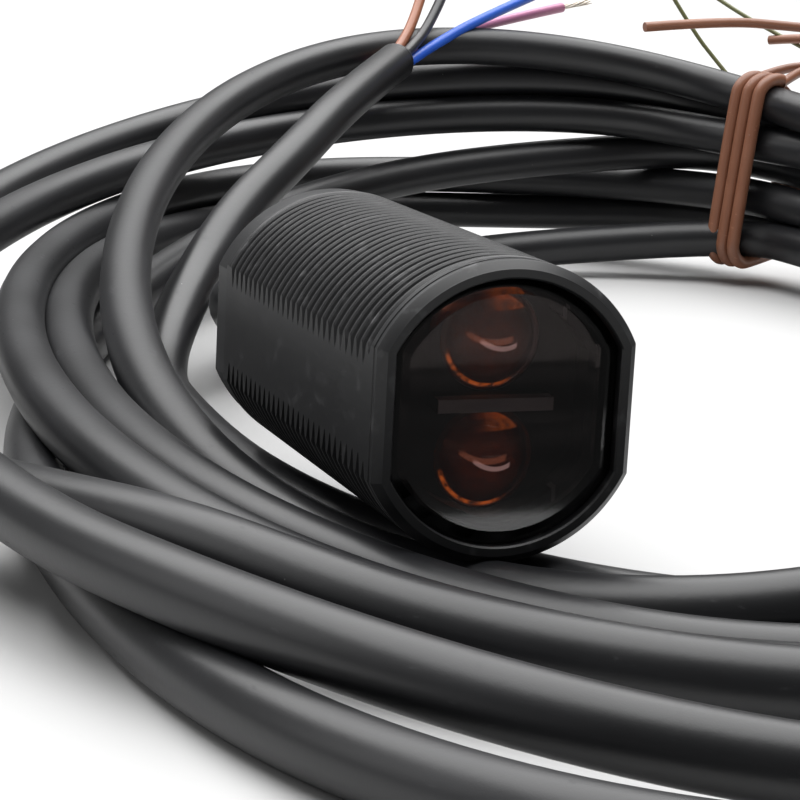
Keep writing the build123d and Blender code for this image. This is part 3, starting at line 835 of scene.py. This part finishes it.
@dataclass
class LeadPath:
    """The whole line of the lead: out of the sensor, round the coil and up to its stripped end."""

    diameter: float = 4.2
    floor: float = -13.3
    barrel_radius: float = 9.0
    barrel_back: float = 32.4
    apex: tuple[float, float] = (58.9, 130.8)
    lean: float = 18.05
    points_a_turn: int = 36
    tie_angle: float = 54.0
    blend_end: float = -80.0
    last_angle: float = -150.0
    tie_spread: float = 26.0
    tie_lift: float = 5.6
    tie_step: float = 2.45
    tie_side: float = 1.72
    tie_back: tuple[float, float] = (6.0, 10.5)
    settle_steps: int = 160
    firm_steps: int = 20
    spacing: float = 1.01
    near_rows: int = 6
    tie_room: tuple[float, float] = (1.5, 12.0)
    lead: tuple[tuple[float, float, float], ...] = (
        (0.0, 42.3, 11.1),
        (0.0, 53.5, 11.1),
        (3.0, 65.0, 7.8),
        (8.6, 76.5, 4.0),
        (14.5, 88.5, 2.2),
        (21.5, 100.5, 2.1),
        (30.3, 112.0, 2.1),
        (42.0, 121.5, 2.1),
        (56.5, 127.5, 2.8),
    )
    tail: tuple[tuple[float, float, float], ...] = (
        (-5.0, 52.5, 2.1),
        (-4.2, 60.5, 2.3),
        (-1.7, 68.5, 4.3),
        (4.0, 79.0, 8.4),
        (10.4, 88.3, 12.7),
        (18.6, 96.8, 17.0),
        (27.6, 108.5, 21.2),
        (38.3, 123.0, 24.1),
    )
    turns: tuple[Turn, ...] = (
        Turn(41.9, 74.1, 0.0, 0.0, (13.77, 1.39, 10.45, -0.56, -2.34)),
        Turn(64.0, 82.0, 1.7, 1.0, Turn.level(2.1, 6.8, 21.3, 13.0)),
        Turn(60.0, 87.3, 1.5, 1.5, Turn.level(2.1, 6.3, 18.9, 10.0)),
        Turn(48.5, 91.0, 0.0, -0.5, Turn.level(2.1, 2.4, 12.4, 7.0)),
        Turn(49.4, 84.2, -0.5, 12.0, Turn.level(2.1, 6.5, 9.0, 5.0)),
        Turn(45.2, 82.8, -1.5, 12.0, Turn.level(2.1, 5.6, 5.6, 3.0)),
        Turn(38.0, 79.4, -1.0, 13.5, Turn.level(2.1, 2.1, 2.1, 2.1)),
    )

    def axes(self) -> tuple[np.ndarray, np.ndarray]:
        """Give the oval's long and wide directions on the floor."""
        angle = math.radians(self.lean)
        long = np.array([math.sin(angle), math.cos(angle)])
        return long, np.array([long[1], -long[0]])

    def place(self, turn: Turn, degrees: float) -> np.ndarray:
        """Find a point of one turn.

        Args:
            turn: the loop.
            degrees: the angle round it, 90 at the apex and 180 at the left side.

        Returns:
            X, Y and the height above the floor.
        """
        long, wide = self.axes()
        angle = math.radians(degrees)
        centre = np.array(self.apex) + long * (turn.apex_gap - turn.half_length) + wide * turn.shift
        flat = centre + turn.half_width * math.cos(angle) * wide + turn.half_length * math.sin(angle) * long
        mean, cos1, sin1, cos2, sin2 = turn.heights
        height = mean + cos1 * math.cos(angle) + sin1 * math.sin(angle)
        height += cos2 * math.cos(2 * angle) + sin2 * math.sin(2 * angle)
        return np.array([flat[0], flat[1], max(height, self.diameter / 2)])

    def tie_place(self, crossing: int) -> np.ndarray:
        """Place where the lead passes the tie for the given time, in a stack two strands wide."""
        middle = self.place(self.turns[0], self.tie_angle)
        along = self.place(self.turns[0], self.tie_angle - 1) - middle
        across = np.array([-along[1], along[0]]) / math.hypot(along[0], along[1])
        rank = 0 if crossing == 0 else len(self.turns) - crossing
        side = self.tie_side if rank % 2 else -self.tie_side
        flat = middle[:2] + across * side + np.array(self.tie_back)
        return np.array([flat[0], flat[1], self.tie_lift + self.tie_step * rank])

    def wound(self) -> tuple[np.ndarray, np.ndarray]:
        """Wind the coil before its strands settle.

        Returns:
            The points of the coil, and how far each one may give way to another strand.
        """
        low = replace(self.turns[0], heights=(self.diameter / 2, 0.0, 0.0, 0.0, 0.0))
        points, give = [], []
        before = low
        for number, turn in enumerate(self.turns):
            for step in range(self.points_a_turn):
                degrees = self.tie_angle - 360 * step / self.points_a_turn
                if number == len(self.turns) - 1 and degrees < self.last_angle:
                    break
                share = min((self.tie_angle - degrees) / (self.tie_angle - self.blend_end), 1.0)
                share = share * share * (3 - 2 * share)
                point = self.place(before.blend(turn, share), degrees)
                point += self.pull(number, degrees, before, turn)
                points.append(point)
                give.append(0.25 if number == 0 and step > self.points_a_turn // 4 else 1.0)
            before = turn
        return np.array(points), np.array(give)

    def pull(self, number: int, degrees: float, before: Turn, turn: Turn) -> np.ndarray:
        """Draw strands together near the tie.

        Args:
            number: which turn the point belongs to.
            degrees: its angle round that turn.
            before: the turn that the lead comes from.
            turn: the turn itself.

        Returns:
            The shift of the point, which fades with the angle from the tie.
        """
        ahead = self.tie_angle - degrees
        behind = 360 - ahead
        shift = np.zeros(3)
        for crossing, gap, loop in ((number, ahead, before), (number + 1, behind, turn)):
            fade = math.exp(-((gap / self.tie_spread) ** 2))
            if fade > 0.001 and crossing < len(self.turns):
                shift += fade * (self.tie_place(crossing) - self.place(loop, self.tie_angle))
        return shift

    def settled(self) -> np.ndarray:
        """Let the coil's strands push each other apart for a set number of steps, kept on the floor and
        outside the barrel.

        Returns:
            All points of the lead in order, in millimetres, with heights above the floor.
        """
        coil, give = self.wound()
        first, last = len(self.lead), len(self.lead) + len(coil)
        start = np.vstack([self.lead, coil, self.tail])
        give = np.concatenate([np.zeros(first), give, np.zeros(len(self.tail))])[:, None]
        points = start.copy()
        shares = np.array([0.0, 0.25, 0.5, 0.75])
        order = (np.arange(len(points) - 1)[:, None] + shares).ravel()
        left = order.astype(int)
        share = (order - left)[:, None]
        apart = np.abs(order[:, None] - order[None]) > self.near_rows
        tie = self.tie_place(0)
        for step in range(self.settle_steps):
            samples = points[left] * (1 - share) + points[left + 1] * share
            gaps = samples[:, None] - samples[None]
            distance = np.sqrt((gaps**2).sum(axis=2)) + 1e-6
            short = np.where(apart, np.maximum(self.diameter * self.spacing - distance, 0.0), 0.0)
            push = (gaps * (short / distance)[:, :, None]).sum(axis=1) * 0.5
            push /= np.maximum((short > 0).sum(axis=1), 1)[:, None]
            move = np.zeros_like(points)
            weight = np.full((len(points), 1), 1e-6)
            for index, part in ((left, 1 - share), (left + 1, share)):
                np.add.at(move, index, push * part)
                np.add.at(weight, index, part * (np.abs(push).sum(axis=1) > 0)[:, None])
            points += np.maximum(give, 0.0) * move / np.maximum(weight, 0.5)
            shift = points - start
            spread = shift.copy()
            spread[1:-1] = 0.5 * shift[1:-1] + 0.25 * (shift[:-2] + shift[2:])
            soft = 0.5 if step < self.settle_steps - self.firm_steps else 0.1
            points = start + np.where(give > 0, (1 - soft) * shift + soft * spread, 0.0)
            self.keep_clear(points, tie, give)
        return points

    def keep_clear(self, points: np.ndarray, tie: np.ndarray, give: np.ndarray) -> None:
        """Hold movable points on or above the floor and outside the barrel.

        Args:
            points: the lead's points, changed in place.
            tie: the tie's place, where the strands lie on the tie and not on the floor.
            give: zero for points that stay where they are.
        """
        away = np.hypot(points[:, 0] - tie[0], points[:, 1] - tie[1])
        rest = self.diameter / 2 + self.tie_room[0] * np.exp(-((away / self.tie_room[1]) ** 2))
        free = give[:, 0] > 0
        points[free, 2] = np.maximum(points[free, 2], rest[free])
        height = points[:, 2] + self.floor
        reach = np.hypot(points[:, 0], height)
        least = self.barrel_radius + self.diameter / 2 + 0.05
        beside = free & (points[:, 1] > -1.0) & (points[:, 1] < self.barrel_back) & (reach < least)
        scale = (least / np.maximum(reach, 1e-6))[beside]
        points[beside, 0] *= scale
        points[beside, 2] = height[beside] * scale - self.floor
        points[free, 2] = np.maximum(points[free, 2], rest[free])


@dataclass
class StrippedEnd:
    """The lead's bare end: four insulated cores that fan out, with tinned strands at their tips."""

    jacket: float = 4.2
    core: float = 1.15
    gap: float = 0.09
    step: float = 6.0
    conductor: float = 0.62
    strand: float = 0.2
    strands: int = 7
    tip: float = 5.0
    bends: dict = field(
        default_factory=lambda: {
            "brown": ((-1, 1), ((0.55, 0.70, 0.45), (0.42, 0.62, 0.66), (0.50, 0.52, 0.70))),
            "black": ((1, 1), ((0.62, 0.70, 0.36), (0.52, 0.62, 0.59), (0.40, 0.66, 0.64))),
            "blue": ((1, -1), ((0.74, 0.60, 0.30), (0.84, 0.42, 0.35), (0.88, 0.38, 0.29))),
            "pink": ((-1, -1), ((0.70, 0.66, 0.28), (0.84, 0.50, 0.20), (0.93, 0.34, 0.16))),
        }
    )

    def build(self, end: Vector, along: Vector) -> list[bpy.types.Object]:
        """Build the cores, their bare tips and the jacket's cut rim.

        Args:
            end: the middle of the jacket's cut end, in millimetres.
            along: the direction of the lead there.

        Returns:
            Every piece of the stripped end.
        """
        across = along.cross(Vector((0, 0, 1))).normalized()
        over = across.cross(along)
        spread = (self.core + self.gap) / 2
        pieces = []
        tips_points, tips_faces = [], []
        for colour, ((side, up), bends) in self.bends.items():
            start = end + across * (side * spread) + over * (up * spread)
            route = [start - along * 1.0, start, start + along * (self.step / 2)]
            for length, direction in zip((1.0, 1.5, 2.5), bends):
                route.append(route[-1] + Vector(direction).normalized() * (self.step * length))
            name = f"core_{colour}_wire"
            piece = nurbs_piece(name, [tuple(p) for p in route], self.core, f"core_{colour}", "sensor", 10, 5)
            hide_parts(f"core_{colour}")
            pieces.append(piece)
            self.add_strands(tips_points, tips_faces, route[-1], (route[-1] - route[-2]).normalized())
        tips = mesh_piece("conductor_strands", tips_points, tips_faces, "conductor_tin", "sensor", 60.0)
        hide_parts("conductor_tips")
        return [*pieces, tips, self.rim(end, along, across, over)]

    def add_strands(self, points: list, faces: list, start: Vector, along: Vector) -> None:
        """Add one core's twisted strands to a mesh.

        Args:
            points: the mesh's points, added to.
            faces: its faces, added to.
            start: where the insulation ends.
            along: the core's direction there.
        """
        across = along.cross(Vector((0, 0, 1))).normalized()
        over = across.cross(along)
        rows, sides = 13, 7
        for number in range(self.strands):
            turn = math.tau * number / (self.strands - 1)
            lay = (self.conductor - self.strand) / 2 if number else 0.0
            base = len(points)
            for row in range(rows):
                share = row / (rows - 1)
                angle = turn + share * 2.6
                open_out = 1 + 0.35 * share * share
                middle = start + along * (self.tip * share * (1 - 0.04 * (number % 3)) - 0.3)
                middle += (across * math.cos(angle) + over * math.sin(angle)) * lay * open_out
                for side in range(sides + 1):
                    a = math.tau * side / sides
                    points.append(middle + (across * math.cos(a) + over * math.sin(a)) * self.strand / 2)
            grid = grid_faces(rows, sides + 1)
            faces.extend(tuple(base + i for i in face) for face in grid)
            for row in (0, rows - 1):
                faces.append(tuple(base + row * (sides + 1) + i for i in range(sides)))

    def rim(self, end: Vector, along: Vector, across: Vector, over: Vector) -> bpy.types.Object:
        """Build the jacket's cut end: a slightly uneven ring with a hollow that the cores leave from."""
        outer = self.jacket / 2
        inner = 1.5
        profile = [(0.0, -0.9), (inner, -0.8), (inner + 0.02, 0.25), (inner + 0.12, 0.36)]
        profile += [(outer - 0.2, 0.33), (outer - 0.04, 0.2), (outer + 0.01, 0.0)]
        profile += [(outer + 0.01, -0.3), (outer - 0.1, -0.6)]
        count = 48
        points = []
        for reach, ahead in profile:
            for step in range(count + 1):
                angle = math.tau * step / count
                cut = 0.07 * math.sin(2 * angle + 0.6) + 0.03 * math.sin(5 * angle)
                spot = end + along * (ahead + (cut if ahead > 0.1 else 0.0))
                points.append(spot + (across * math.cos(angle) + over * math.sin(angle)) * reach)
        faces = grid_faces(len(profile), count + 1)
        return mesh_piece("jacket_cut_end", points, faces, "cable_vinyl", "sensor", 50.0)


@dataclass
class TwistTie:
    """Plastic-covered wire wound three times round the stacked turns, its ends twisted and left long."""

    strand: float = 4.2
    thick: float = 1.45
    flat: float = 1.0
    end_thick: float = 1.1
    wire_thick: float = 0.5
    twist_reach: float = 0.62
    wraps: int = 3
    pitch: float = 1.62
    per_wrap: int = 40
    knot: Point = (93.5, 124.0, 11.6)
    free: tuple[tuple[Point, ...], ...] = (
        ((-2.0, 0.6, 1.6), (-9.0, 1.2, 2.0), (-17.0, 1.6, 2.4), (-27.5, 1.4, 1.4)),
        ((0.6, 2.4, 1.2), (-1.6, 7.0, 1.6), (-5.0, 12.0, 0.8)),
    )
    bare: tuple[tuple[Point, ...], ...] = (
        ((93.5, 127.0, 12.4), (90.5, 131.0, 14.4), (86.0, 135.5, 17.2), (83.6, 138.6, 19.4)),
        ((86.3, 133.9, 8.4), (84.3, 135.8, 11.2), (82.2, 137.3, 14.0), (79.4, 139.4, 18.9)),
    )

    def build(self, strands: list[Vector], along: Vector, floor: float) -> list[bpy.types.Object]:
        """Wind the tie round the strands.

        Args:
            strands: where the strands' middles pass the tie's plane, in millimetres.
            along: the bundle's direction.
            floor: height of the floor.

        Returns:
            The winding and the tie's free ends.
        """
        middle = sum(strands, Vector()) / len(strands)
        up = Vector((0, 0, 1))
        side = along.cross(up).normalized()
        reach = (self.strand + self.flat) / 2
        path = []
        total = self.wraps * self.per_wrap
        for step in range(total + 1):
            angle = math.tau * step / self.per_wrap + math.pi / 2 + 0.35
            way = side * math.cos(angle) + up * math.sin(angle)
            outermost = max(strands, key=lambda spot: (spot - middle).dot(way))
            spot = outermost + way * reach
            advance = self.pitch * (step / self.per_wrap - self.wraps / 2)
            spot += along * (advance - (spot - middle).dot(along))
            spot.z = max(spot.z, floor + self.flat / 2)
            path.append(spot)
        smooth = [
            (path[max(i - 1, 0)] + path[i] * 2 + path[min(i + 1, total)]) / 4 for i in range(total + 1)
        ]
        route = [tuple(p) for p in smooth]
        winding = nurbs_piece("tie_winding", route, self.thick, "tie_plastic", "sensor", 3)
        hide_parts("twist_tie")
        return [winding, *self.ends(smooth[0], smooth[-1], along, side, up)]

    def ends(
        self, first: Vector, last: Vector, along: Vector, side: Vector, up: Vector
    ) -> list[bpy.types.Object]:
        """Make the tie's two free ends, twisted round each other before they part.

        Args:
            first: where the winding starts.
            last: where it ends.
            along: the bundle's direction.
            side: the direction square to it on the floor.
            up: the upright.

        Returns:
            The two ends.
        """
        knot = Vector(self.knot)
        pieces = []
        for number, start in enumerate((first, last)):
            route = [start - up * 0.4, start.lerp(knot, 0.35) + up * 0.5, start.lerp(knot, 0.75) + up * 0.3]
            for step in range(9):
                angle = math.pi * number + step * 1.05
                lift = knot + (along * 0.5 + up * 0.25) * step
                route.append(lift + (side * math.cos(angle) + up * math.sin(angle)) * self.twist_reach)
            top = route[-1]
            for reach in self.free[number]:
                route.append(top + Vector(reach))
            points = [tuple(p) for p in route]
            name = f"tie_end_{number + 1}"
            pieces.append(nurbs_piece(name, points, self.end_thick, "tie_plastic", "sensor", 6))
        for number, route in enumerate(self.bare):
            name = f"tie_wire_{number + 1}"
            pieces.append(nurbs_piece(name, list(route), self.wire_thick, "tie_wire", "sensor", 6))
        return pieces


@dataclass
class Lead:
    """The whole lead: one long smooth strand with its tie and its stripped end."""

    path: LeadPath = field(default_factory=LeadPath)
    tie: TwistTie = field(default_factory=TwistTie)
    end: StrippedEnd = field(default_factory=StrippedEnd)
    tie_reach: float = 26.0

    def line(self, points: list[Vector]) -> list[Vector]:
        """Read a smooth curve's line at even steps.

        Args:
            points: its control points, in millimetres.

        Returns:
            Points on the curve, in millimetres.
        """
        halves = [(a + b) / 2 for a, b in zip(points, points[1:])]
        line = []
        for before, corner, after in zip(halves, points[1:], halves[1:]):
            for step in range(6):
                t = step / 6
                line.append(before * (1 - t) ** 2 + corner * 2 * t * (1 - t) + after * t * t)
        return line

    def crossings(self, line: list[Vector], place: Vector, along: Vector) -> list[Vector]:
        """Find where the lead passes the tie's plane near the tie.

        Args:
            line: points along the lead.
            place: the tie's place.
            along: the bundle's direction, square to the plane.

        Returns:
            The points where the lead goes through the plane.
        """
        found = []
        for a, b in zip(line, line[1:]):
            before, after = (a - place).dot(along), (b - place).dot(along)
            if before * after <= 0 and (a - place).length < self.tie_reach and before != after:
                found.append(a.lerp(b, before / (before - after)))
        return found

    def build(self) -> bpy.types.Object:
        """Returns:
            The strand.
        """
        settled = self.path.settled()
        points = [Vector((x, y, z + self.path.floor)) for x, y, z in settled]
        strand = nurbs_piece(
            "lead_jacket", [tuple(p) for p in points], self.path.diameter, "cable_vinyl", "sensor", 6, 8
        )
        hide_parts("cable_lead", "cable_coil", "cable_tail")
        line = self.line(points)
        place = Vector(self.path.tie_place(0)) + Vector((0, 0, self.path.floor))
        ahead = self.path.place(self.path.turns[0], self.path.tie_angle - 1)
        here = self.path.place(self.path.turns[0], self.path.tie_angle)
        along = Vector((ahead[0] - here[0], ahead[1] - here[1], 0)).normalized()
        crossings = self.crossings(line, place, along)
        LOG.info("tie holds %d strands", len(crossings))
        on_lead = self.tie.build(crossings, along, self.path.floor)
        way = (points[-1] - points[-2]).normalized()
        on_lead += self.end.build(points[-1], way)
        length = sum((b - a).length for a, b in zip(line, line[1:])) * MM
        LOG.info("lead is %.3f m long", length)
        return strand


@dataclass
class SensorFace:
    """The two lenses behind the window."""

    lens_radius: float = 3.15
    lens_height: float = 3.6
    lens_back: float = 4.65
    lens_flange: float = 0.35
    lens_edge: float = 0.8
    lens_dome: float = 1.3
    dome_steps: int = 14
    round_steps: int = 72

    def build(self) -> None:
        """Make both lenses."""
        for name, height in (("emitter", self.lens_height), ("receiver", -self.lens_height)):
            self.lens(name, height)

    def lens(self, name: str, height: float) -> bpy.types.Object:
        """Make one lens with a domed front and a stepped rim.

        Args:
            name: emitter or receiver.
            height: height of its axis above the barrel's.

        Returns:
            The lens.
        """
        r, back, count = self.lens_radius, self.lens_back, self.round_steps
        foot = r - self.lens_flange
        sphere = (foot**2 + self.lens_dome**2) / (2 * self.lens_dome)
        summit = back - self.lens_edge - self.lens_dome
        profile = []
        for step in range(self.dome_steps + 1):
            reach = foot * step / self.dome_steps
            profile.append((reach, summit + sphere - math.sqrt(sphere**2 - reach**2)))
        edge = back - self.lens_edge
        profile += [(r - 0.3, edge - 0.02), (r - 0.06, edge), (r, edge + 0.08), (r, back - 0.06)]
        profile += [(r - 0.08, back), (0.0, back)]
        points = [
            (reach * math.cos(math.tau * i / count), y, height + reach * math.sin(math.tau * i / count))
            for reach, y in profile
            for i in range(count + 1)
        ]
        faces = grid_faces(len(profile), count + 1)
        piece = mesh_piece(f"{name}_lens_moulding", points, faces, "lens_plastic", "sensor", 30.0)
        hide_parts(f"{name}_lens")
        return piece


def dress_frame() -> None:
    """Give every CAD node that still shows its finish from the record."""
    for part in frame["record"]["subparts"]:
        node = frame["nodes"].get(part["node"])
        if node and node.data:
            dress(node, part["material_slot"])
            LOG.info("%s: %s", part["node"], part["material_slot"])


@dataclass(frozen=True)
class SoftLight:
    """One soft rectangular light, in metres and watts."""

    name: str
    place: Point
    target: Point
    size: tuple[float, float]
    power: float

    def hang(self) -> None:
        """Hang the light and turn it to its target."""
        light = bpy.data.lights.new(self.name, "AREA")
        light.shape = "RECTANGLE"
        light.size, light.size_y = self.size
        light.energy = self.power
        lamp = bpy.data.objects.new(self.name, light)
        lamp.location = self.place
        towards = Vector(self.target) - Vector(self.place)
        lamp.rotation_euler = towards.to_track_quat("-Z", "Y").to_euler()
        bpy.context.scene.collection.objects.link(lamp)


@dataclass
class Studio:
    """Pale sheet, soft lights and camera, in metres."""

    floor: float = -0.0133
    position: Point = (-0.0548, -0.1239, 0.0293)
    right: Point = (0.935, -0.351, 0.0506)
    down: Point = (-0.0268, -0.2123, -0.9768)
    lens: float = 108.0
    sheet: float = 3.0
    surroundings: float = 0.12
    lights: tuple[SoftLight, ...] = (
        SoftLight("overhead", (0.1, 0.5, 1.3), (0.05, 0.25, 0.0), (2.2, 2.2), 66.0),
        SoftLight("left_wall", (-1.2, 0.3, 0.6), (0.0, 0.05, 0.0), (0.8, 0.7), 2.5),
        SoftLight("low_card", (0.236, -0.55, -0.004), (0.0, 0.0, 0.0), (0.5, 0.018), 0.06),
    )

    def build(self) -> None:
        """Set the sheet, the lights, the surroundings and the camera."""
        scene = bpy.context.scene
        scene.view_settings.view_transform = "Standard"
        self.lay_sheet()
        for light in self.lights:
            light.hang()
        world = bpy.data.worlds.new("surroundings")
        world.use_nodes = True
        back = world.node_tree.nodes["Background"]
        back.inputs["Color"].default_value = (1.0, 1.0, 1.0, 1.0)
        back.inputs["Strength"].default_value = self.surroundings
        scene.world = world
        self.set_camera(scene)

    def lay_sheet(self) -> None:
        """Lay the pale sheet under the object."""
        half = self.sheet / 2 / MM
        z = self.floor / MM
        corners = [(-half, -half, z), (half, -half, z), (half, half, z), (-half, half, z)]
        mesh = bpy.data.meshes.new("pale_sheet")
        mesh.from_pydata([Vector(c) * MM for c in corners], [], [(0, 1, 2, 3)])
        sheet = bpy.data.objects.new("pale_sheet", mesh)
        sheet.data.materials.append(Paper().make())
        bpy.context.scene.collection.objects.link(sheet)

    def set_camera(self, scene: bpy.types.Scene) -> None:
        """Set the camera level with the sensor's left front, a little above it."""
        data = bpy.data.cameras.new("camera")
        data.lens = self.lens
        data.sensor_width = 36.0
        data.clip_start = 0.01
        camera = bpy.data.objects.new("camera", data)
        right = Vector(self.right).normalized()
        up = (-Vector(self.down)).normalized()
        back = right.cross(up).normalized()
        up = back.cross(right)
        turn = Matrix((right, up, back)).transposed().to_4x4()
        camera.matrix_world = Matrix.Translation(self.position) @ turn
        scene.collection.objects.link(camera)
        scene.camera = camera


def main() -> None:
    """Dress the frame, build each sub-assembly and set the scene."""
    logging.basicConfig(level=logging.INFO, format="%(name)s: %(message)s")
    dress_frame()
    for assembly in (ThreadedBarrel(), SensorFace(), Lead(), Studio()):
        LOG.info("building %s", type(assembly).__name__)
        assembly.build()


if __name__ == "__main__":
    main()
